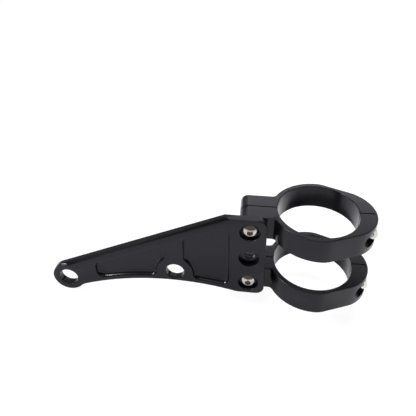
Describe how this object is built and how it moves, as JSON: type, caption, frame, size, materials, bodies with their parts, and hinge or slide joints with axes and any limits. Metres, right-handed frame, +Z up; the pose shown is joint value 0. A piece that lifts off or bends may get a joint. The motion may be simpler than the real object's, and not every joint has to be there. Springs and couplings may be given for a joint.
{
  "type": "headlight mounting bracket",
  "caption": "Milled side plate with a lamp eye, screwed to two split ring clamps that grip a fork leg.",
  "frame": {"origin": "on the fork axis, halfway up the lower clamp", "axes": "+Z up along the fork leg, +X from the plate towards the clamp screws, -Y towards the plate's front face"},
  "size_m": [0.1749, 0.047, 0.0602],
  "materials": {
    "black_anodised": "satin black anodised",
    "stainless": "bright stainless steel"
  },
  "bodies": {
    "root": {"side_plate": "black_anodised", "upper_clamp_front": "black_anodised", "upper_clamp_back": "black_anodised", "lower_clamp_front": "black_anodised", "lower_clamp_back": "black_anodised", "upper_plate_screw": "stainless", "lower_plate_screw": "stainless", "upper_clamp_screw": "stainless", "lower_clamp_screw": "stainless"}
  },
  "joints": []
}
